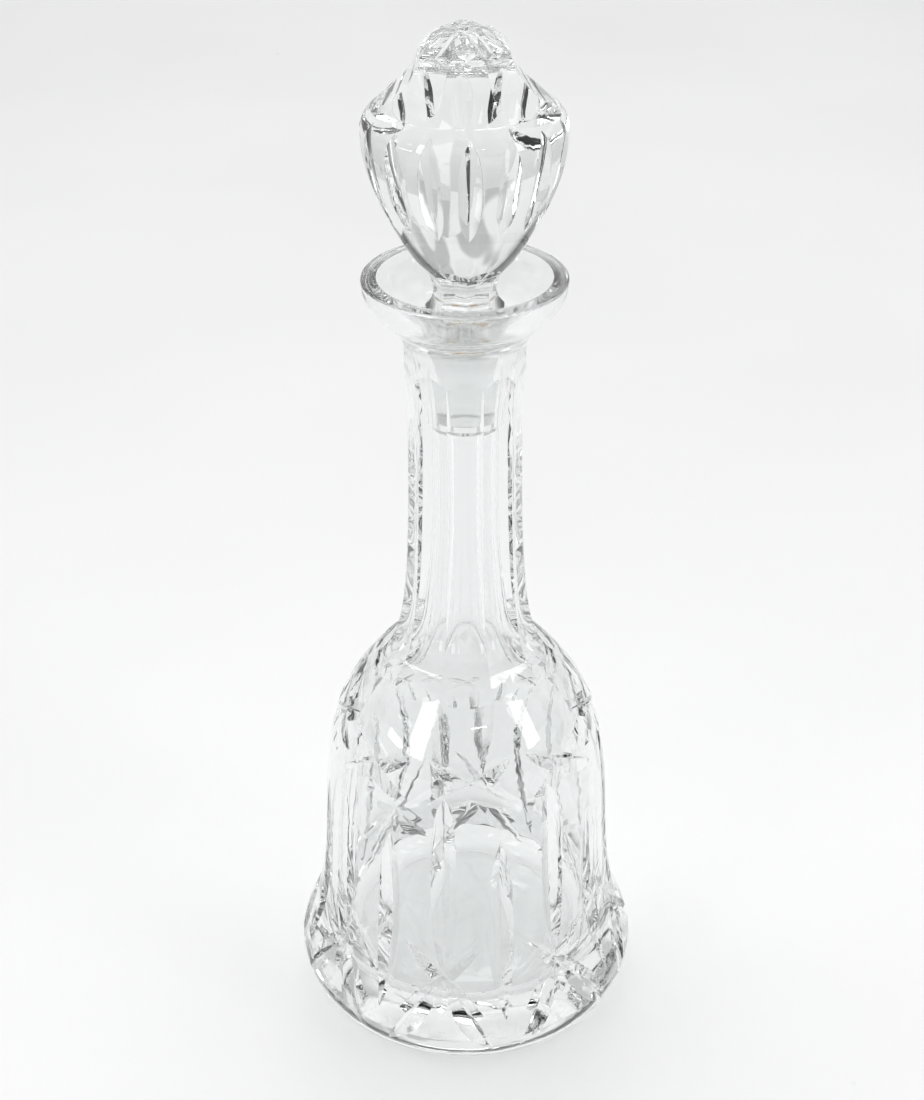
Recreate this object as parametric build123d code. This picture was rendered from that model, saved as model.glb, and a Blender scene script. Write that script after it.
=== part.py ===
from build123d import *
import math
import os

os.makedirs("parts", exist_ok=True)

# Sizes are in millimetres and angles in degrees. The origin is the centre of the
# base, +Z runs up the axis, and the front faces -Y. Angles about the axis count
# from the front towards +X. A rise is a height above the mouth of the socket.

# Bell of the decanter
foot_radius = 57.2             # widest part of the foot
foot_height = 14.5
foot_tuck = 8.6                # how far the ring on the table stands in from the foot
tuck_lean = 61.0               # lean of the glass where it leaves the table
foot_lean = 12.0               # lean of the glass just above the widest part
flare_hollow = 0.7             # how far the foot's flare is hollowed
ankle_radius = 49.7            # where the foot's flare turns into the bell wall
ankle_height = 38.5
wall_radius = 46.8
wall_height = 71.0
shoulder_radius = 42.2
shoulder_height = 106.5
shoulder_top_radius = 29.4     # where the neck flutes run out on the shoulder
shoulder_top_height = 128.2
shoulder_lean = 40.0
stand_ring_width = 8.6         # flat ring left round the hollow ground into the underside
dish_depth = 1.2

# Neck and lip
neck_radius = 16.4             # from the axis to the middle of a neck flute
flute_sink = 1.4               # flutes lie this far below the round neck under the lip
slim_drop = 46.0               # from the foot of the lip down to the slimmest neck
neck_flutes = 10
neck_flare_length = 7.4        # a short length sweeps out to the shoulder sharply
flute_top_drop = 2.5           # from the foot of the lip down to the ends of the flutes
flute_wheel_radius = 40.0      # stone that ground the rounded upper ends
lip_radius = 29.6
lip_height = 258.6             # flat top of the rim
lip_depth = 22.6               # from the rim down to the neck
rim_width = 4.4
rim_round = 0.7

# Glass thickness, the well inside and the ground socket
floor_thickness = 16.0
floor_dome = 1.2
floor_corner = 9.5
ankle_thickness = 6.4
wall_thickness = 5.3
shoulder_thickness = 5.9
shoulder_top_thickness = 6.4
bore_radius = 5.9
throat_depth = 1.5             # sloping step from the bore out to the socket
socket_top_radius = 9.75
socket_foot_radius = 7.7
socket_length = 31.0
bowl_depth = 13.6              # from the rim down to the mouth of the socket

# Cuts on the bell, which repeat round the body
cut_repeats = 8
mitre_half_angle = 62.0        # from the middle of a V cut to its side
tall_blade_angle = -9.0        # long upright cuts that stand high
tall_blade_top = 108.0
tall_blade_foot = 36.5
low_blade_angle = 13.5         # long upright cuts that stand low
low_blade_top = 88.0
low_blade_foot = 21.5
blade_depth = 2.35
cross_angle = 1.5              # slanted cross between two blades
cross_height = 108.2
cross_half_span = 17.5
cross_half_rise = 6.6
cross_depth = 1.0
star_height = 35.6             # centre of the star under each tall blade
star_wide_span = 14.5
star_wide_rise = 11.8
star_steep_span = 18.5
star_steep_drop = 26.0
star_ray_drop = 12.5
star_depth = 1.35

# Stopper
seat_clearance = 0.08          # between the ground peg and the ground socket
peg_gap = 1.5                  # from the end of the peg to the foot of the socket
peg_round = 0.9
collar_radius = 11.3
collar_rise = 5.0
waist_radius = 8.3             # from the axis to the middle of a shank facet
waist_rise = 9.4
waist_hollow_below = 4.3       # radius of a shank facet's hollow below the waist
waist_hollow_above = 8.7
knob_foot_radius = 13.6
knob_foot_rise = 18.6
knob_foot_lean = 36.0
knob_middle_radius = 21.4
knob_middle_rise = 31.6
knob_radius = 28.5
knob_rise = 56.3
knob_top_radius = 23.6         # where the cove facets start
knob_top_rise = 63.5
crown_radius = 13.2            # ring round the star on top
crown_rise = 76.6
cove_top_radius = 11.5         # cove facets end up here, inside the crown ring
cove_top_rise = 82.6
cove_sweep = 2.5               # a high power keeps the cove upright for longer
stopper_rise = 85.0            # top of the domed crown
stopper_facets = 8
stopper_flutes = 16
stopper_turn = 3.0             # the way the stopper happens to be turned
flute_depth = 1.9
flute_above = 5.2              # knob flutes run from above the widest ring to below it
flute_below = 24.5
petal_depth = 1.95
petal_start = 0.08             # share of the dome left uncut at the very top

# How the cutters are laid out
cutter_stations = 9
cutter_overrun = 1.12          # V cutters run out past the glass by this factor
cutter_reach = 4.0             # how far a cutter stands clear of the glass
side_run = 2.5                 # depths that the sides of a V cutter run up by
facet_reach = 24.0
shank_stations = 9
shank_overrun = 0.3            # share of a hollow's radius that a shank facet runs on
cove_stations = 7
cove_overrun = 0.1             # share of its height that a cove facet runs on below
ridge_spare = 0.4              # glass left outside the ridges for the facets to cut

# Worked out from the sizes above
full_turn = 360.0
base_radius = foot_radius - foot_tuck
dish_radius = base_radius - stand_ring_width
neck_top_radius = neck_radius + flute_sink
lip_foot = lip_height - lip_depth
neck_height = lip_foot - slim_drop
flute_top_height = lip_foot - flute_top_drop
socket_mouth = lip_height - bowl_depth
socket_foot = socket_mouth - socket_length
peg_foot = socket_foot + peg_gap
up = Vector(0, 0, 1)
outwards = Vector(1, 0, 0)


def polar(radius, angle, height):
    """A point at a radius and an angle from the front."""
    turn = math.radians(angle)
    return Vector(radius * math.sin(turn), -radius * math.cos(turn), height)


def outline_point(radius, height):
    """A point on a turned outline."""
    return Vector(radius, 0, height)


def leaning(angle):
    """The upward direction that leans away from the axis by an angle."""
    return Vector(math.sin(math.radians(angle)), 0, math.cos(math.radians(angle)))


def between(start, end, count):
    """Evenly spaced values from start to end, both included."""
    return [start + (end - start) * i / (count - 1) for i in range(count)]


def around(piece, count, offset=0.0):
    """Copies of a piece, evenly round the axis."""
    return [piece.rotate(Axis.Z, offset + full_turn * i / count) for i in range(count)]


def ridge_radius(facet_radius, count):
    """Radius of the ridges between flat facets, with a little glass to spare."""
    return facet_radius / math.cos(math.radians(full_turn / count / 2)) + ridge_spare


def radius_at(curves, height):
    """Radius at a height on an outline of rising curves, lowest first, by halving."""
    curve = next((c for c in curves if (c @ 1).Z >= height), curves[-1])
    low = 0.0
    high = 1.0
    for _ in range(40):
        middle = (low + high) / 2
        if (curve @ middle).Z < height:
            low = middle
        else:
            high = middle
    return (curve @ low).X


def v_cutter(valley_points, outward, across, half_angle, reach, spread):
    """A solid with a V section. Its valley runs along the points and it opens outward."""
    valley = Spline(*valley_points)
    far_end = valley_points[-1] + outward * reach
    far_start = valley_points[0] + outward * reach
    sides = [
        Line(valley_points[-1], far_end),
        Line(far_end, far_start),
        Line(far_start, valley_points[0]),
    ]
    section = make_face([valley, *sides])
    half = math.radians(half_angle)
    right = across * math.sin(half) + outward * math.cos(half)
    left = across * -math.sin(half) + outward * math.cos(half)
    return extrude(section, amount=spread, dir=right) + extrude(section, amount=spread, dir=left)


def v_spread(depth):
    """How far the sides of a V cutter run up, to stand well clear of the glass."""
    return side_run * depth / math.cos(math.radians(mitre_half_angle))


def surface_groove(curves, start, end, depth):
    """A V groove on a turned surface from start to end, each an (angle, height).

    It is deepest half way and runs out to nothing at both ends.
    """
    stations = between(-cutter_overrun, cutter_overrun, cutter_stations)
    on_surface = []
    for s in stations:
        angle = start[0] + (end[0] - start[0]) * (s + 1) / 2
        height = start[1] + (end[1] - start[1]) * (s + 1) / 2
        on_surface.append(polar(radius_at(curves, height), angle, height))
    chord = (on_surface[-1] - on_surface[0]).normalized()
    middle_angle = (start[0] + end[0]) / 2
    across = chord.cross(polar(1, middle_angle, 0)).normalized()
    outward = across.cross(chord).normalized()
    origin = on_surface[cutter_stations // 2]
    valley = []
    for s, point in zip(stations, on_surface):
        flat = point - across * (point - origin).dot(across)
        valley.append(flat - outward * depth * (1 - abs(s) ** 3))
    bulge = max((point - on_surface[0]).dot(outward) for point in on_surface)
    reach = depth + bulge + cutter_reach
    return v_cutter(valley, outward, across, mitre_half_angle, reach, v_spread(depth))


def facet_cutter(path, half_width):
    """A cutter for a facet at the front, flat across, following (radius, height) points."""
    valley = [polar(radius, 0, height) for radius, height in path]
    return v_cutter(valley, polar(1, 0, 0), outwards, 90, facet_reach, half_width)


def foot_curve():
    """Outer outline from the base up to the widest part of the foot."""
    base_edge = outline_point(base_radius, 0)
    widest = outline_point(foot_radius, foot_height)
    return Spline(base_edge, widest, tangents=[leaning(tuck_lean), up])


def bell_curve():
    """Outer outline from the widest part of the foot up to the neck flutes."""
    flare_radius = (foot_radius + ankle_radius) / 2 - flare_hollow
    flare_height = (foot_height + ankle_height) / 2
    return Spline(
        outline_point(foot_radius, foot_height),
        outline_point(flare_radius, flare_height),
        outline_point(ankle_radius, ankle_height),
        outline_point(wall_radius, wall_height),
        outline_point(shoulder_radius, shoulder_height),
        outline_point(shoulder_top_radius, shoulder_top_height),
        tangents=[leaning(-foot_lean), leaning(-shoulder_lean)],
    )


def neck_flare(height, slim_radius, wide_radius):
    """Radius that sweeps from the slim neck out to a wider radius at the shoulder."""
    rise = height - shoulder_top_height
    slim = 1 / (1 + (neck_height - shoulder_top_height) / neck_flare_length)
    share = (1 / (1 + rise / neck_flare_length) - slim) / (1 - slim)
    return slim_radius + (wide_radius - slim_radius) * share


def flare_heights(lowest, count):
    """Heights up the flare of the neck, closer together near the shoulder."""
    low = math.log(1 + (lowest - shoulder_top_height) / neck_flare_length)
    high = math.log(1 + (neck_height - shoulder_top_height) / neck_flare_length)
    steps = between(low, high, count)
    return [shoulder_top_height + neck_flare_length * (math.exp(s) - 1) for s in steps]


def body_blank():
    """The decanter as blown and turned, solid, before it is hollowed and cut."""
    bell = bell_curve()
    shoulder_line = Line(bell @ 1, (bell @ 1) + (bell % 1) * neck_flare_length)
    flare_height = ((shoulder_line @ 1).Z + neck_height) / 2
    flare_radius = neck_flare(flare_height, neck_radius, shoulder_top_radius)
    neck_line = Polyline(
        shoulder_line @ 1,
        outline_point(ridge_radius(flare_radius, neck_flutes), flare_height),
        outline_point(ridge_radius(neck_radius, neck_flutes), neck_height),
        outline_point(neck_top_radius, lip_foot),
    )
    rim_foot = outline_point(lip_radius, lip_height - rim_round)
    lip_curve = Spline(neck_line @ 1, rim_foot, tangents=[up, up])
    rim_top = outline_point(lip_radius - rim_round, lip_height)
    rim_edge = TangentArc(rim_foot, rim_top, tangent=up)
    rim = Line(rim_top, outline_point(0, lip_height))
    axis_line = Line(rim @ 1, outline_point(0, 0))
    base = Line(axis_line @ 1, outline_point(base_radius, 0))
    edges = [base, foot_curve(), bell, shoulder_line, *neck_line.edges()]
    return revolve(make_face([*edges, lip_curve, rim_edge, rim, axis_line]), Axis.Z)


def body_hollow():
    """The space inside: the well, the bore, the ground socket and the lip bowl."""
    well_foot_radius = ankle_radius - ankle_thickness
    floor_middle = outline_point(0, floor_thickness + floor_dome)
    floor_edge = outline_point(well_foot_radius - floor_corner, floor_thickness)
    floor = Spline(floor_middle, floor_edge, tangents=[outwards, outwards])
    corner_top = outline_point(well_foot_radius, floor_thickness + floor_corner)
    corner = TangentArc(floor_edge, corner_top, tangent=outwards)
    neck_foot_radius = shoulder_top_radius - shoulder_top_thickness
    flare = [
        outline_point(neck_flare(height, bore_radius, neck_foot_radius), height)
        for height in flare_heights(shoulder_top_height, 4)
    ]
    wall = Spline(
        corner_top,
        outline_point(wall_radius - wall_thickness, wall_height),
        outline_point(shoulder_radius - shoulder_thickness, shoulder_height),
        *flare,
        tangents=[up, up],
    )
    bore = Line(wall @ 1, outline_point(bore_radius, socket_foot - throat_depth))
    throat = Line(bore @ 1, outline_point(socket_foot_radius, socket_foot))
    socket = Line(throat @ 1, outline_point(socket_top_radius, socket_mouth))
    bowl_edge = outline_point(lip_radius - rim_width, lip_height)
    bowl = TangentArc(socket @ 1, bowl_edge, tangent=outwards)
    opening = Line(bowl_edge, bowl_edge + up * cutter_reach)
    above = Line(opening @ 1, outline_point(0, lip_height + cutter_reach))
    axis_line = Line(above @ 1, floor_middle)
    edges = [floor, corner, wall, bore, throat, socket, bowl, opening, above, axis_line]
    return revolve(make_face(edges), Axis.Z)


def underside_dish():
    """The shallow hollow under the base, which leaves a flat ring to stand on."""
    ball_radius = (dish_radius ** 2 + dish_depth ** 2) / (2 * dish_depth)
    return Pos(0, 0, dish_depth - ball_radius) * Sphere(ball_radius)


def neck_flute():
    """Cutter for one upright flute, from the shoulder to just under the lip."""
    lowest = shoulder_top_height - 0.3 * neck_flare_length
    path = []
    for height in flare_heights(lowest, cutter_stations):
        path.append((neck_flare(height, neck_radius, shoulder_top_radius), height))
    round_length = math.sqrt(2 * flute_wheel_radius * flute_sink)
    for step in between(0, cutter_overrun * round_length, 4):
        radius = neck_radius + step ** 2 / (2 * flute_wheel_radius)
        path.append((radius, flute_top_height - round_length + step))
    half_turn = math.radians(full_turn / neck_flutes / 2)
    return facet_cutter(path, path[0][0] * math.tan(half_turn))


def bell_grooves():
    """Every V cut on the bell: the blades, the crosses and the stars at the foot."""
    surface = [foot_curve(), bell_curve()]
    cross_left = cross_angle - cross_half_span
    cross_right = cross_angle + cross_half_span
    cross_low = cross_height - cross_half_rise
    cross_high = cross_height + cross_half_rise
    star_floor = star_height - star_wide_rise
    star_roof = star_height + star_wide_rise
    star_left = tall_blade_angle - star_wide_span
    star_right = tall_blade_angle + star_wide_span
    steep_foot = star_height - star_steep_drop
    heart = (tall_blade_angle, star_height)
    cuts = [
        ((tall_blade_angle, tall_blade_foot), (tall_blade_angle, tall_blade_top), blade_depth),
        ((low_blade_angle, low_blade_foot), (low_blade_angle, low_blade_top), blade_depth),
        ((cross_left, cross_high), (cross_right, cross_low), cross_depth),
        ((cross_left, cross_low), (cross_right, cross_high), cross_depth),
        ((star_left, star_roof), (star_right, star_floor), star_depth),
        ((star_left, star_floor), (star_right, star_roof), star_depth),
        (heart, (tall_blade_angle - star_steep_span, steep_foot), star_depth),
        (heart, (tall_blade_angle + star_steep_span, steep_foot), star_depth),
        ((tall_blade_angle, star_height - star_ray_drop), heart, star_depth),
    ]
    grooves = []
    for start, end, depth in cuts:
        grooves += around(surface_groove(surface, start, end, depth), cut_repeats)
    return grooves


def decanter_body():
    """The whole decanter without its stopper."""
    body = body_blank() - body_hollow() - underside_dish()
    body = body.cut(*around(neck_flute(), neck_flutes))
    return body.cut(*bell_grooves())


def peg_radius_at(height):
    """Radius of the ground peg, which follows the socket's taper."""
    share = (height - socket_foot) / socket_length
    return socket_foot_radius + (socket_top_radius - socket_foot_radius) * share - seat_clearance


def knob_curve():
    """Outline of the knob from its foot up to its widest ring."""
    return Spline(
        outline_point(knob_foot_radius, socket_mouth + knob_foot_rise),
        outline_point(knob_middle_radius, socket_mouth + knob_middle_rise),
        outline_point(knob_radius, socket_mouth + knob_rise),
        tangents=[leaning(knob_foot_lean), up],
    )


def knob_shoulder_curve():
    """Outline from the widest ring of the knob up to the foot of the cove facets."""
    widest = outline_point(knob_radius, socket_mouth + knob_rise)
    top = outline_point(knob_top_radius, socket_mouth + knob_top_rise)
    return TangentArc(widest, top, tangent=up)


def cove_radius(rise):
    """Radius to the middle of a cove facet, which sweeps out to the knob's shoulder."""
    share = (cove_top_rise - rise) / (cove_top_rise - knob_top_rise)
    return cove_top_radius + (knob_top_radius - cove_top_radius) * share ** cove_sweep


def crown_ball():
    """Radius and centre height of the ball that the domed crown is part of."""
    dome_height = stopper_rise - crown_rise
    radius = (crown_radius ** 2 + dome_height ** 2) / (2 * dome_height)
    return radius, socket_mouth + stopper_rise - radius


def stopper_blank():
    """The stopper as turned: peg, collar, shank, knob, cove and domed crown."""
    peg_end = Line(
        outline_point(0, peg_foot),
        outline_point(peg_radius_at(peg_foot) - peg_round, peg_foot),
    )
    edge_top = outline_point(peg_radius_at(peg_foot + peg_round), peg_foot + peg_round)
    peg_edge = TangentArc(peg_end @ 1, edge_top, tangent=outwards)
    peg_side = Line(edge_top, outline_point(peg_radius_at(socket_mouth), socket_mouth))
    collar_top = outline_point(collar_radius, socket_mouth + collar_rise)
    collar = Spline(peg_side @ 1, collar_top, tangents=[up, up])
    knob = knob_curve()
    shank = Line(collar_top, knob @ 0)
    cove_points = [knob_shoulder_curve() @ 1]
    for rise in between(knob_top_rise, crown_rise, 4)[1:-1]:
        radius = ridge_radius(cove_radius(rise), stopper_facets)
        cove_points.append(outline_point(radius, socket_mouth + rise))
    crown_edge = outline_point(crown_radius, socket_mouth + crown_rise)
    cove = Polyline(*cove_points, crown_edge)
    apex = outline_point(0, socket_mouth + stopper_rise)
    dome = TangentArc(apex, crown_edge, tangent=outwards)
    axis_line = Line(apex, peg_end @ 0)
    edges = [peg_end, peg_edge, peg_side, collar, shank, knob, knob_shoulder_curve()]
    return revolve(make_face([*edges, *cove.edges(), dome, axis_line]), Axis.Z)


def shank_facet():
    """Cutter for one hollow facet of the waist between the collar and the knob."""
    waist = socket_mouth + waist_rise
    lowest = collar_rise - waist_rise - shank_overrun * waist_hollow_below
    highest = knob_foot_rise - waist_rise + shank_overrun * waist_hollow_above
    path = []
    for step in between(lowest, highest, shank_stations):
        hollow = waist_hollow_below if step < 0 else waist_hollow_above
        path.append((waist_radius + step ** 2 / (2 * hollow), waist + step))
    return facet_cutter(path, knob_foot_radius)


def cove_facet():
    """Cutter for one hollow facet from the crown ring down to the knob's shoulder."""
    lowest = knob_top_rise - cove_overrun * (cove_top_rise - knob_top_rise)
    path = []
    for rise in between(lowest, cove_top_rise, cove_stations):
        path.append((cove_radius(rise), socket_mouth + rise))
    return facet_cutter(path, knob_radius)


def knob_flute():
    """Cutter for one V flute on the knob, arched at the top and pointed below."""
    widest = socket_mouth + knob_rise
    curves = [knob_curve(), knob_shoulder_curve()]
    return surface_groove(curves, (0, widest - flute_below), (0, widest + flute_above), flute_depth)


def crown_petal():
    """Cutter for one petal of the star on the domed crown."""
    ball_radius, ball_height = crown_ball()
    slope = math.asin(crown_radius / ball_radius)
    valley = []
    for s in between(-cutter_overrun, cutter_overrun, cutter_stations):
        lean = slope * (petal_start + (1 - petal_start) * (s + 1) / 2)
        radius = ball_radius - petal_depth * (1 - abs(s) ** 3)
        height = ball_height + radius * math.cos(lean)
        valley.append(polar(radius * math.sin(lean), 0, height))
    outward = polar(math.sin(slope / 2), 0, math.cos(slope / 2))
    reach = petal_depth + cutter_reach
    return v_cutter(valley, outward, outwards, mitre_half_angle, reach, v_spread(petal_depth))


def stopper():
    """The whole stopper, from the ground peg to the star on its crown."""
    facet_turn = full_turn / stopper_facets
    piece = stopper_blank()
    piece = piece.cut(*around(shank_facet(), stopper_facets, stopper_turn + facet_turn / 2))
    piece = piece.cut(*around(cove_facet(), stopper_facets, stopper_turn))
    piece = piece.cut(*around(knob_flute(), stopper_flutes, stopper_turn))
    return piece.cut(*around(crown_petal(), stopper_facets, stopper_turn))


export_step(decanter_body(), "parts/decanter_body.step")
export_step(stopper(), "parts/stopper.step")
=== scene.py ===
import math

import bpy
from bpy.props import FloatProperty, FloatVectorProperty, PointerProperty
from mathutils import Euler, Matrix, Vector


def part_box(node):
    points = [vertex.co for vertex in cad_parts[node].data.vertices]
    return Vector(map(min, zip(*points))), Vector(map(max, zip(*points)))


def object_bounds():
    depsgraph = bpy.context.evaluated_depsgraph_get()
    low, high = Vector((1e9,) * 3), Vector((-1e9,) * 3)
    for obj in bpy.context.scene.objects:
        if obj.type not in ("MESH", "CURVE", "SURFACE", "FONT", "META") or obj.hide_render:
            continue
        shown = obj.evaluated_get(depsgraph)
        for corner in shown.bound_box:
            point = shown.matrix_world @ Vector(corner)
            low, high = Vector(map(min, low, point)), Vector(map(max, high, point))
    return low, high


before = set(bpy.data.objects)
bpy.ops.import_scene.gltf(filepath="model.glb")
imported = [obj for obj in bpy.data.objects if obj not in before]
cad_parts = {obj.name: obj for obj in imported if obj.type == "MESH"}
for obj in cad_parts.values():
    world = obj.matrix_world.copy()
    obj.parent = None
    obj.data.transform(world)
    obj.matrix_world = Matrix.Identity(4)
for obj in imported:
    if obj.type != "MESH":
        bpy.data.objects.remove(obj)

bl_info = {
    "name": "Cut crystal decanter",
    "version": (1, 0, 0),
    "blender": (4, 5, 0),
    "location": "3D View > Sidebar > Decanter",
    "description": "Finishes a cut crystal decanter and its stopper, and sets them on a pale studio floor",
    "category": "Object",
}

CAD_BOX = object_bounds()
BODY_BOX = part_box("decanter_body")
STOPPER_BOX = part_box("stopper")
RIM = BODY_BOX[1][2]
PEG_FOOT = STOPPER_BOX[0][2]

# Where the ground seat is matt, in metres. The socket starts a little below the peg.
SEAT_RADIUS = 0.0099
SOCKET_SEAT = {"Foot": PEG_FOOT - 0.0016, "Top": RIM - 0.0137, "Radius": SEAT_RADIUS}
PEG_SEAT = {"Foot": PEG_FOOT + 0.0006, "Top": RIM - 0.0135, "Radius": SEAT_RADIUS}

RESIDUE_ROUGHNESS = 0.35
BODY_WAVES = 1.0
STOPPER_WAVES = 1.4

# The worn ring under the foot fades out between these heights.
SCUFF_FULL = 0.0002
SCUFF_END = 0.0009

FLOOR_HALF_WIDTH = 9.0
FLOOR_GAP = 0.0003
VIEWER_LIFT = math.radians(42.0)
AIM_SHARE = 0.45
OVERHEAD_WIDTH = math.radians(80.0)
SENSOR_WIDTH = 36.0
LENS_LENGTH = 58.63


# ---------------------------------------------------------------------------
# Settings
# ---------------------------------------------------------------------------


class DecanterGlassSettings(bpy.types.PropertyGroup):
    """The crystal and how it is ground and polished."""

    tint: FloatVectorProperty(
        name="Tint",
        description="Colour that the crystal gives to light passing through it",
        subtype="COLOR",
        size=3,
        min=0.0,
        max=1.0,
        default=(0.94, 0.953, 0.949),
    )
    ior: FloatProperty(
        name="Index of refraction",
        description="How strongly the crystal bends light; lead crystal is about 1.55",
        min=1.3,
        max=1.8,
        default=1.55,
    )
    polish: FloatProperty(
        name="Polish roughness",
        description="Roughness of the cleanest polished surfaces",
        min=0.0,
        max=0.2,
        default=0.004,
    )
    edge_radius: FloatProperty(
        name="Edge radius",
        description="How far acid polishing has rounded the edges of the cuts",
        unit="LENGTH",
        min=0.0,
        max=0.002,
        default=0.0002,
    )
    ground_roughness: FloatProperty(
        name="Ground roughness",
        description="Roughness of the matt ground cone where the stopper seats",
        min=0.0,
        max=1.0,
        default=0.15,
    )
    waviness: FloatProperty(
        name="Waviness",
        description="Depth of the slow hand-made waves in the polished surfaces",
        unit="LENGTH",
        min=0.0,
        max=0.001,
        default=0.0001,
    )
    shadow_tone: FloatProperty(
        name="Shadow tone",
        description="Share of lamp light that passes each surface of the crystal",
        min=0.0,
        max=1.0,
        default=0.88,
    )


class DecanterWearSettings(bpy.types.PropertyGroup):
    """Marks that the crystal has picked up in use."""

    smudge: FloatProperty(
        name="Smudges",
        description="Roughness that handling and dried water add in soft patches",
        min=0.0,
        max=0.3,
        default=0.012,
    )
    scratch: FloatProperty(
        name="Hairline scratches",
        description="Roughness along the fine scratches",
        min=0.0,
        max=0.6,
        default=0.09,
    )
    residue: FloatVectorProperty(
        name="Residue",
        description="Colour of the dried drink left round the seat of the stopper",
        subtype="COLOR",
        size=3,
        min=0.0,
        max=1.0,
        default=(0.66, 0.46, 0.27),
    )
    residue_height: FloatProperty(
        name="Residue height",
        description="Height of the residue ring below the rim",
        unit="LENGTH",
        default=0.0132,
    )
    foot_scuff: FloatProperty(
        name="Foot scuffing",
        description="Roughness of the worn ring that stands on the table",
        min=0.0,
        max=0.8,
        default=0.1,
    )


class DecanterStageSettings(bpy.types.PropertyGroup):
    """The floor, the lights and the camera."""

    floor_colour: FloatVectorProperty(
        name="Floor colour",
        description="Colour of the plain paper floor",
        subtype="COLOR",
        size=3,
        min=0.0,
        max=1.0,
        default=(0.90, 0.90, 0.905),
    )
    room_strength: FloatProperty(
        name="Room light",
        description="Brightness of the pale room behind the decanter",
        min=0.0,
        max=5.0,
        default=0.9,
    )
    softbox_strength: FloatProperty(
        name="Softbox light",
        description="Brightness of the faces of the two softboxes",
        min=0.0,
        max=60.0,
        default=5.0,
    )
    overhead_strength: FloatProperty(
        name="Overhead light",
        description="Brightness of the wide light from above on the paper",
        min=0.0,
        max=10.0,
        default=1.25,
    )
    camera_distance: FloatProperty(
        name="Camera distance",
        description="Level distance from the decanter's axis to the camera",
        unit="LENGTH",
        default=0.4726,
    )
    camera_offset: FloatProperty(
        name="Camera offset",
        description="How far the camera stands to the left of the axis",
        unit="LENGTH",
        default=0.00105,
    )
    camera_height: FloatProperty(
        name="Camera height",
        description="Height of the camera above the floor",
        unit="LENGTH",
        default=0.45635,
    )
    camera_pitch: FloatProperty(
        name="Camera pitch",
        description="How far the camera looks down",
        subtype="ANGLE",
        default=math.radians(31.43),
    )
    camera_roll: FloatProperty(
        name="Camera roll",
        description="How far the camera leans to its right",
        subtype="ANGLE",
        default=math.radians(-0.18),
    )


# ---------------------------------------------------------------------------
# Small helpers for node trees
# ---------------------------------------------------------------------------


class Graph:
    """A node tree with short calls for the nodes that this object's finishes use."""

    def __init__(self, tree):
        self.tree = tree

    def node(self, kind, inputs=None, **settings):
        """Add a node. A value for an input is a plain value, or a socket to link."""
        made = self.tree.nodes.new(kind)
        for key, value in settings.items():
            setattr(made, key, value)
        for key, value in (inputs or {}).items():
            if isinstance(value, bpy.types.NodeSocket):
                self.tree.links.new(value, made.inputs[key])
            else:
                made.inputs[key].default_value = value
        return made

    def math(self, operation, first, second=0.0):
        return self.node("ShaderNodeMath", {0: first, 1: second}, operation=operation).outputs[0]

    def ramp(self, value, low, high, to_low=0.0, to_high=1.0):
        """A smooth step from to_low to to_high as the value goes from low to high."""
        inputs = {
            "Value": value,
            "From Min": low,
            "From Max": high,
            "To Min": to_low,
            "To Max": to_high,
        }
        made = self.node("ShaderNodeMapRange", inputs, interpolation_type="SMOOTHSTEP")
        return made.outputs["Result"]

    def noise(self, position, scale, detail=3.0, roughness=0.5):
        inputs = {"Vector": position, "Scale": scale, "Detail": detail, "Roughness": roughness}
        return self.node("ShaderNodeTexNoise", inputs).outputs["Fac"]

    def stretched(self, position, scale, turn=(0.0, 0.0, 0.0)):
        """The position turned and scaled unevenly, to draw a pattern out one way."""
        inputs = {"Vector": position, "Scale": scale, "Rotation": turn}
        return self.node("ShaderNodeMapping", inputs).outputs["Vector"]

    def mix(self, factor, first, second):
        """A blend of two colours."""
        made = self.node("ShaderNodeMix", data_type="RGBA")
        for index, value in ((0, factor), (6, first), (7, second)):
            if isinstance(value, bpy.types.NodeSocket):
                self.tree.links.new(value, made.inputs[index])
            else:
                made.inputs[index].default_value = value
        return made.outputs[2]


def new_group(name, inputs, outputs):
    """An empty node group. Inputs are (name, socket type, default) and outputs (name, type)."""
    tree = bpy.data.node_groups.new(name, "ShaderNodeTree")
    for label, kind, default in inputs:
        socket = tree.interface.new_socket(name=label, in_out="INPUT", socket_type=kind)
        if default is not None:
            socket.default_value = default
    for label, kind in outputs:
        tree.interface.new_socket(name=label, in_out="OUTPUT", socket_type=kind)
    graph = Graph(tree)
    given = graph.node("NodeGroupInput").outputs
    result = graph.node("NodeGroupOutput").inputs
    return graph, given, result


def new_material(name):
    """An empty node material."""
    material = bpy.data.materials.new(name)
    material.use_nodes = True
    material.node_tree.nodes.clear()
    return material, Graph(material.node_tree)


def assign(piece, material):
    piece.data.materials.clear()
    piece.data.materials.append(material)


# ---------------------------------------------------------------------------
# Finishes shared by the decanter and its stopper
# ---------------------------------------------------------------------------


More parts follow.
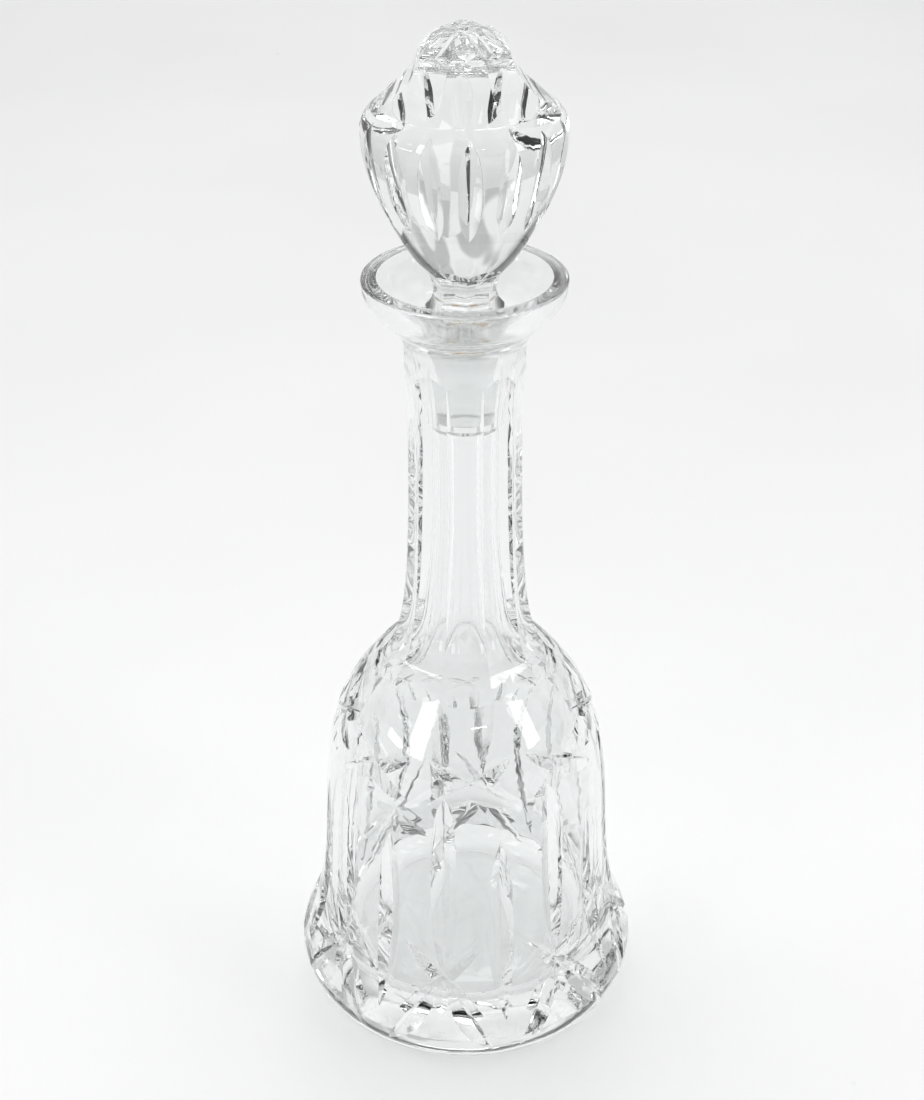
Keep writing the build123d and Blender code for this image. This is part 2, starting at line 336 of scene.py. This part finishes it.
def fine_wear_group():
    """Roughness of polished crystal with soft smudges, water marks and hairline scratches."""
    graph, given, result = new_group(
        "fine_wear",
        [
            ("Position", "NodeSocketVector", None),
            ("Polish", "NodeSocketFloat", 0.004),
            ("Smudge", "NodeSocketFloat", 0.02),
            ("Scratch", "NodeSocketFloat", 0.15),
        ],
        [("Roughness", "NodeSocketFloat")],
    )
    position = given["Position"]
    patches = graph.ramp(graph.noise(position, 34.0, 4.0, 0.62), 0.5, 0.78)
    spots = graph.node(
        "ShaderNodeTexVoronoi", {"Vector": position, "Scale": 260.0}, feature="F1"
    ).outputs["Distance"]
    rings = graph.math("MULTIPLY", graph.ramp(spots, 0.10, 0.04), patches)
    smudged = graph.math("MULTIPLY", graph.math("ADD", patches, rings), given["Smudge"])
    hairlines = []
    for turn in ((0.3, 0.2, 0.4), (1.1, -0.5, 1.7)):
        drawn = graph.stretched(position, (900.0, 900.0, 28.0), turn)
        hairlines.append(graph.ramp(graph.noise(drawn, 1.0, 1.0), 0.745, 0.79))
    lines = graph.math("MAXIMUM", *hairlines)
    scratched = graph.math("MULTIPLY", lines, given["Scratch"])
    worn = graph.math("MAXIMUM", smudged, scratched)
    graph.tree.links.new(graph.math("ADD", given["Polish"], worn), result["Roughness"])
    return graph.tree


def hand_finish_group():
    """Height of the slow waves that blowing, cutting and acid polishing leave."""
    graph, given, result = new_group(
        "hand_finish",
        [("Position", "NodeSocketVector", None), ("Fineness", "NodeSocketFloat", 1.0)],
        [("Height", "NodeSocketFloat")],
    )
    fineness = given["Fineness"]
    slow_scale = graph.math("MULTIPLY", fineness, 22.0)
    swirl_scale = graph.math("MULTIPLY", fineness, 11.0)
    slow = graph.noise(given["Position"], slow_scale, 1.0)
    drawn = graph.stretched(given["Position"], (1.0, 1.0, 4.5))
    swirl = graph.noise(drawn, swirl_scale, 2.0)
    height = graph.math("ADD", graph.math("MULTIPLY", slow, 0.65), graph.math("MULTIPLY", swirl, 0.35))
    graph.tree.links.new(height, result["Height"])
    return graph.tree


def ground_seat_group():
    """Mask of the matt ground cone, between two heights and inside a radius."""
    graph, given, result = new_group(
        "ground_seat",
        [
            ("Position", "NodeSocketVector", None),
            ("Foot", "NodeSocketFloat", 0.214),
            ("Top", "NodeSocketFloat", 0.245),
            ("Radius", "NodeSocketFloat", 0.0099),
        ],
        [("Mask", "NodeSocketFloat")],
    )
    parts = graph.node("ShaderNodeSeparateXYZ", {0: given["Position"]}).outputs
    across = graph.math("POWER", parts["X"], 2.0)
    along = graph.math("POWER", parts["Y"], 2.0)
    radius = graph.math("SQRT", graph.math("ADD", across, along))
    inside = graph.math("LESS_THAN", radius, given["Radius"])
    above = graph.math("GREATER_THAN", parts["Z"], given["Foot"])
    below = graph.math("LESS_THAN", parts["Z"], given["Top"])
    band = graph.math("MULTIPLY", inside, graph.math("MULTIPLY", above, below))
    grain = graph.ramp(graph.noise(given["Position"], 900.0, 2.0), 0.3, 0.7, 0.72, 1.0)
    graph.tree.links.new(graph.math("MULTIPLY", band, grain), result["Mask"])
    return graph.tree


def seat_residue_group():
    """Mask of the broken ring of dried drink round the seat of the stopper."""
    graph, given, result = new_group(
        "seat_residue",
        [
            ("Position", "NodeSocketVector", None),
            ("Height", "NodeSocketFloat", 0.245),
            ("Spread", "NodeSocketFloat", 0.0016),
            ("Radius", "NodeSocketFloat", 0.0135),
        ],
        [("Mask", "NodeSocketFloat")],
    )
    parts = graph.node("ShaderNodeSeparateXYZ", {0: given["Position"]}).outputs
    gap = graph.math("ABSOLUTE", graph.math("SUBTRACT", parts["Z"], given["Height"]))
    level = graph.ramp(graph.math("DIVIDE", gap, given["Spread"]), 1.0, 0.3)
    across = graph.math("POWER", parts["X"], 2.0)
    along = graph.math("POWER", parts["Y"], 2.0)
    radius = graph.math("SQRT", graph.math("ADD", across, along))
    near = graph.math("LESS_THAN", radius, given["Radius"])
    broken = graph.ramp(graph.noise(given["Position"], 240.0, 4.0, 0.6), 0.5, 0.66)
    ring = graph.math("MULTIPLY", level, near)
    graph.tree.links.new(graph.math("MULTIPLY", ring, broken), result["Mask"])
    return graph.tree


def shared_finish(graph, name, build, inputs):
    """Place a shared node group in a material. The group is built the first time."""
    tree = bpy.data.node_groups.get(name) or build()
    return graph.node("ShaderNodeGroup", inputs, node_tree=tree).outputs


# ---------------------------------------------------------------------------
# Crystal
# ---------------------------------------------------------------------------


def crystal(graph, glass, wear, seat, fineness):
    """The shader that both crystals share, with the position and roughness it is made from."""
    position = graph.node("ShaderNodeTexCoord").outputs["Object"]
    inputs = {
        "Position": position,
        "Polish": glass.polish,
        "Smudge": wear.smudge,
        "Scratch": wear.scratch,
    }
    polished = shared_finish(graph, "fine_wear", fine_wear_group, inputs)["Roughness"]
    inputs = {"Position": position, **seat}
    ground = shared_finish(graph, "ground_seat", ground_seat_group, inputs)["Mask"]
    inputs = {"Position": position, "Height": RIM - wear.residue_height}
    stain = shared_finish(graph, "seat_residue", seat_residue_group, inputs)["Mask"]
    inputs = {"Position": position, "Fineness": fineness}
    waves = shared_finish(graph, "hand_finish", hand_finish_group, inputs)["Height"]
    matt = graph.math("MULTIPLY", ground, glass.ground_roughness)
    rough = graph.math("MAXIMUM", polished, matt)
    rough = graph.math("MAXIMUM", rough, graph.math("MULTIPLY", stain, RESIDUE_ROUGHNESS))
    colour = graph.mix(stain, (*glass.tint, 1.0), (*wear.residue, 1.0))
    softened = graph.node("ShaderNodeBevel", {"Radius": glass.edge_radius}, samples=4)
    bump = graph.node(
        "ShaderNodeBump",
        {
            "Strength": 1.0,
            "Distance": glass.waviness,
            "Height": waves,
            "Normal": softened.outputs["Normal"],
        },
    )
    shader = graph.node(
        "ShaderNodeBsdfPrincipled",
        {
            "Base Color": colour,
            "Metallic": 0.0,
            "Roughness": rough,
            "IOR": glass.ior,
            "Transmission Weight": 1.0,
            "Normal": bump.outputs["Normal"],
        },
    )
    return shader, position, rough


def lamp_light_through(graph, shader, tone):
    """Let light from the lamps reach what stands behind the crystal, a little dimmed."""
    path = graph.node("ShaderNodeLightPath")
    clear = graph.node("ShaderNodeBsdfTransparent", {"Color": (tone, tone, tone, 1.0)})
    blend = graph.node(
        "ShaderNodeMixShader",
        {0: path.outputs["Is Shadow Ray"], 1: shader.outputs["BSDF"], 2: clear.outputs["BSDF"]},
    )
    graph.node("ShaderNodeOutputMaterial", {"Surface": blend.outputs["Shader"]})


def body_crystal(glass, wear):
    """Polished crystal, matt in the socket and scuffed on the ring that it stands on."""
    material, graph = new_material("body_crystal")
    shader, position, rough = crystal(graph, glass, wear, SOCKET_SEAT, BODY_WAVES)
    height = graph.node("ShaderNodeSeparateXYZ", {0: position}).outputs["Z"]
    ring = graph.ramp(height, SCUFF_END, SCUFF_FULL)
    rubbed = graph.ramp(graph.noise(position, 900.0, 5.0, 0.7), 0.46, 0.62)
    scuff = graph.math("MULTIPLY", graph.math("MULTIPLY", ring, rubbed), wear.foot_scuff)
    graph.tree.links.new(graph.math("MAXIMUM", rough, scuff), shader.inputs["Roughness"])
    lamp_light_through(graph, shader, glass.shadow_tone)
    return material


def stopper_crystal(glass, wear):
    """Polished crystal with finer waves, and matt on the ground peg."""
    material, graph = new_material("stopper_crystal")
    shader, _, _ = crystal(graph, glass, wear, PEG_SEAT, STOPPER_WAVES)
    lamp_light_through(graph, shader, glass.shadow_tone)
    return material


# ---------------------------------------------------------------------------
# Stage
# ---------------------------------------------------------------------------


def paper_floor(colour):
    """White paper with a faint unevenness, a fine tooth and a few specks."""
    material, graph = new_material("paper_floor")
    position = graph.node("ShaderNodeTexCoord").outputs["Object"]
    cloudy = graph.ramp(graph.noise(position, 2.4, 3.0), 0.3, 0.72)
    specks = graph.node(
        "ShaderNodeTexVoronoi", {"Vector": position, "Scale": 34.0}, feature="F1"
    ).outputs["Distance"]
    sparse = graph.ramp(graph.noise(position, 9.0, 2.0), 0.6, 0.66)
    dirt = graph.math("MULTIPLY", graph.ramp(specks, 0.05, 0.02, 0.0, 0.4), sparse)
    pale = (*colour, 1.0)
    shade = (*(c * 0.955 for c in colour), 1.0)
    tone = graph.mix(dirt, graph.mix(cloudy, pale, shade), (0.3, 0.29, 0.28, 1.0))
    tooth = graph.node(
        "ShaderNodeBump",
        {"Strength": 0.3, "Distance": 0.0002, "Height": graph.noise(position, 900.0, 3.0)},
    )
    shader = graph.node(
        "ShaderNodeBsdfPrincipled",
        {"Base Color": tone, "Roughness": 0.75, "Normal": tooth.outputs["Normal"]},
    )
    graph.node("ShaderNodeOutputMaterial", {"Surface": shader.outputs["BSDF"]})
    return material


def build_floor(stage):
    """A wide sheet just under the decanter, with a hair of air between them."""
    half = FLOOR_HALF_WIDTH
    low = CAD_BOX[0][2] - FLOOR_GAP
    corners = [(-half, -half, low), (half, -half, low), (half, half, low), (-half, half, low)]
    mesh = bpy.data.meshes.new("studio_floor")
    mesh.from_pydata(corners, [], [(0, 1, 2, 3)])
    floor = bpy.data.objects.new("studio_floor", mesh)
    bpy.context.scene.collection.objects.link(floor)
    assign(floor, paper_floor(stage.floor_colour))


def build_room(stage):
    """A room that is pale behind and dark in front, overhead and at both sides.

    The camera sees a plain backdrop in its place, as bright as the far end of the floor.
    """
    world = bpy.data.worlds.new("studio_room")
    bpy.context.scene.world = world
    world.use_nodes = True
    world.node_tree.nodes.clear()
    graph = Graph(world.node_tree)
    direction = graph.node("ShaderNodeTexCoord").outputs["Generated"]
    parts = graph.node("ShaderNodeSeparateXYZ", {0: direction}).outputs
    depth = graph.ramp(parts["Y"], -0.6, 0.2, 0.02, 1.0)
    ceiling = graph.ramp(parts["Z"], 0.86, 0.97, 1.0, 0.1)
    bays = graph.ramp(graph.noise(direction, 3.2, 1.0), 0.43, 0.52, 0.6, 1.0)
    side = graph.math("ABSOLUTE", parts["X"])
    flags = graph.ramp(side, 0.93, 0.985, 1.0, 0.12)
    above_front = (0.0, -math.cos(VIEWER_LIFT), math.sin(VIEWER_LIFT))
    toward = graph.node(
        "ShaderNodeVectorMath", {0: direction, 1: above_front}, operation="DOT_PRODUCT"
    ).outputs["Value"]
    viewer = graph.ramp(toward, 0.93, 0.975, 1.0, 0.12)
    level = graph.math("MULTIPLY", graph.math("MULTIPLY", depth, ceiling), bays)
    level = graph.math("MULTIPLY", graph.math("MULTIPLY", level, flags), viewer)
    tone = graph.mix(level, (0.0, 0.0, 0.0, 1.0), (1.0, 1.0, 1.0, 1.0))
    light = graph.node("ShaderNodeBackground", {"Color": tone, "Strength": stage.room_strength})
    plain = graph.node("ShaderNodeBackground", {"Color": (0.67, 0.67, 0.67, 1.0), "Strength": 1.0})
    path = graph.node("ShaderNodeLightPath")
    inputs = {0: path.outputs["Is Camera Ray"], 1: light.outputs[0], 2: plain.outputs[0]}
    seen = graph.node("ShaderNodeMixShader", inputs)
    graph.node("ShaderNodeOutputWorld", {"Surface": seen.outputs["Shader"]})


def add_softbox(name, bearing, elevation, distance, size, brightness):
    """A lamp with a rectangular face, turned to the decanter's shoulder."""
    target = Vector((0.0, 0.0, AIM_SHARE * RIM))
    turn = math.radians(bearing)
    lift = math.radians(elevation)
    away = Vector((math.sin(turn) * math.cos(lift), -math.cos(turn) * math.cos(lift), math.sin(lift)))
    data = bpy.data.lights.new(name, "AREA")
    data.shape = "RECTANGLE"
    data.size = size[0]
    data.size_y = size[1]
    data.energy = brightness * math.pi * size[0] * size[1]
    lamp = bpy.data.objects.new(name, data)
    lamp.location = target + away * distance
    lamp.rotation_euler = away.to_track_quat("Z", "Y").to_euler()
    lamp.visible_camera = False
    bpy.context.scene.collection.objects.link(lamp)


def add_overhead(strength):
    """A wide even light from above that brightens the paper and leaves the crystal alone."""
    data = bpy.data.lights.new("overhead", "SUN")
    data.energy = strength
    data.angle = OVERHEAD_WIDTH
    lamp = bpy.data.objects.new("overhead", data)
    lamp.location = (0.0, 0.0, 2.0)
    lamp.visible_camera = False
    lamp.visible_glossy = False
    lamp.visible_transmission = False
    bpy.context.scene.collection.objects.link(lamp)


def build_lights(stage):
    """Softboxes and a low window in front, a thin tube above, a high lamp behind and a wide fill."""
    strength = stage.softbox_strength
    add_softbox("softbox_left", -45.0, 27.0, 1.1, (0.30, 0.58), strength)
    add_softbox("softbox_right", 62.0, 27.0, 1.1, (0.26, 0.54), strength)
    add_softbox("window_left", -66.0, 15.0, 1.2, (0.36, 0.10), strength)
    add_softbox("tube", 14.0, 36.0, 1.3, (0.30, 0.010), 4.0 * strength)
    add_softbox("key_lamp", 176.0, 60.0, 2.1, (0.8, 0.5), strength)
    add_overhead(stage.overhead_strength)


def build_camera(stage):
    """A camera at the height and distance of someone looking down at the table."""
    data = bpy.data.cameras.new("camera")
    data.sensor_width = SENSOR_WIDTH
    data.lens = LENS_LENGTH
    data.clip_start = 0.01
    camera = bpy.data.objects.new("camera", data)
    bpy.context.scene.collection.objects.link(camera)
    camera.location = (-stage.camera_offset, -stage.camera_distance, stage.camera_height)
    level = Euler((math.pi / 2 - stage.camera_pitch, 0.0, 0.0)).to_matrix()
    camera.rotation_euler = (level @ Matrix.Rotation(stage.camera_roll, 3, "Z")).to_euler()
    bpy.context.scene.camera = camera


def tune_view(scene):
    """Plain colour, and enough bounces for light to cross the whole decanter."""
    scene.view_settings.view_transform = "Standard"
    scene.cycles.max_bounces = 32
    scene.cycles.transmission_bounces = 32
    scene.cycles.transparent_max_bounces = 48
    scene.cycles.glossy_bounces = 12
    scene.cycles.caustics_reflective = False
    scene.cycles.caustics_refractive = True
    scene.cycles.sample_clamp_indirect = 3.0


# ---------------------------------------------------------------------------
# Steps and panel
# ---------------------------------------------------------------------------


class DECANTER_OT_body(bpy.types.Operator):
    """Give the decanter's body its polished crystal"""

    bl_idname = "decanter.body"
    bl_label = "Finish the body"

    def execute(self, context):
        scene = context.scene
        assign(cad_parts["decanter_body"], body_crystal(scene.decanter_glass, scene.decanter_wear))
        return {"FINISHED"}


class DECANTER_OT_stopper(bpy.types.Operator):
    """Give the stopper its polished crystal and its ground peg"""

    bl_idname = "decanter.stopper"
    bl_label = "Finish the stopper"

    def execute(self, context):
        scene = context.scene
        assign(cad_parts["stopper"], stopper_crystal(scene.decanter_glass, scene.decanter_wear))
        return {"FINISHED"}


class DECANTER_OT_stage(bpy.types.Operator):
    """Set the floor, the room, the lights and the camera"""

    bl_idname = "decanter.stage"
    bl_label = "Set the stage"

    def execute(self, context):
        stage = context.scene.decanter_stage
        build_floor(stage)
        build_room(stage)
        build_lights(stage)
        build_camera(stage)
        tune_view(context.scene)
        return {"FINISHED"}


class DECANTER_PT_panel(bpy.types.Panel):
    """Settings and steps of the decanter"""

    bl_label = "Decanter"
    bl_idname = "DECANTER_PT_panel"
    bl_space_type = "VIEW_3D"
    bl_region_type = "UI"
    bl_category = "Decanter"

    def draw(self, context):
        scene = context.scene
        for settings in (scene.decanter_glass, scene.decanter_wear, scene.decanter_stage):
            box = self.layout.box()
            for name in settings.__annotations__:
                box.prop(settings, name)
        for operator in OPERATORS:
            self.layout.operator(operator.bl_idname)


SETTINGS = {
    "decanter_glass": DecanterGlassSettings,
    "decanter_wear": DecanterWearSettings,
    "decanter_stage": DecanterStageSettings,
}
OPERATORS = (DECANTER_OT_body, DECANTER_OT_stopper, DECANTER_OT_stage)
CLASSES = (*SETTINGS.values(), *OPERATORS, DECANTER_PT_panel)


def register():
    for item in CLASSES:
        bpy.utils.register_class(item)
    for name, settings in SETTINGS.items():
        setattr(bpy.types.Scene, name, PointerProperty(type=settings))


def unregister():
    for name in SETTINGS:
        delattr(bpy.types.Scene, name)
    for item in reversed(CLASSES):
        bpy.utils.unregister_class(item)


def main():
    register()
    bpy.ops.decanter.body()
    bpy.ops.decanter.stopper()
    bpy.ops.decanter.stage()


if __name__ == "__main__":
    main()
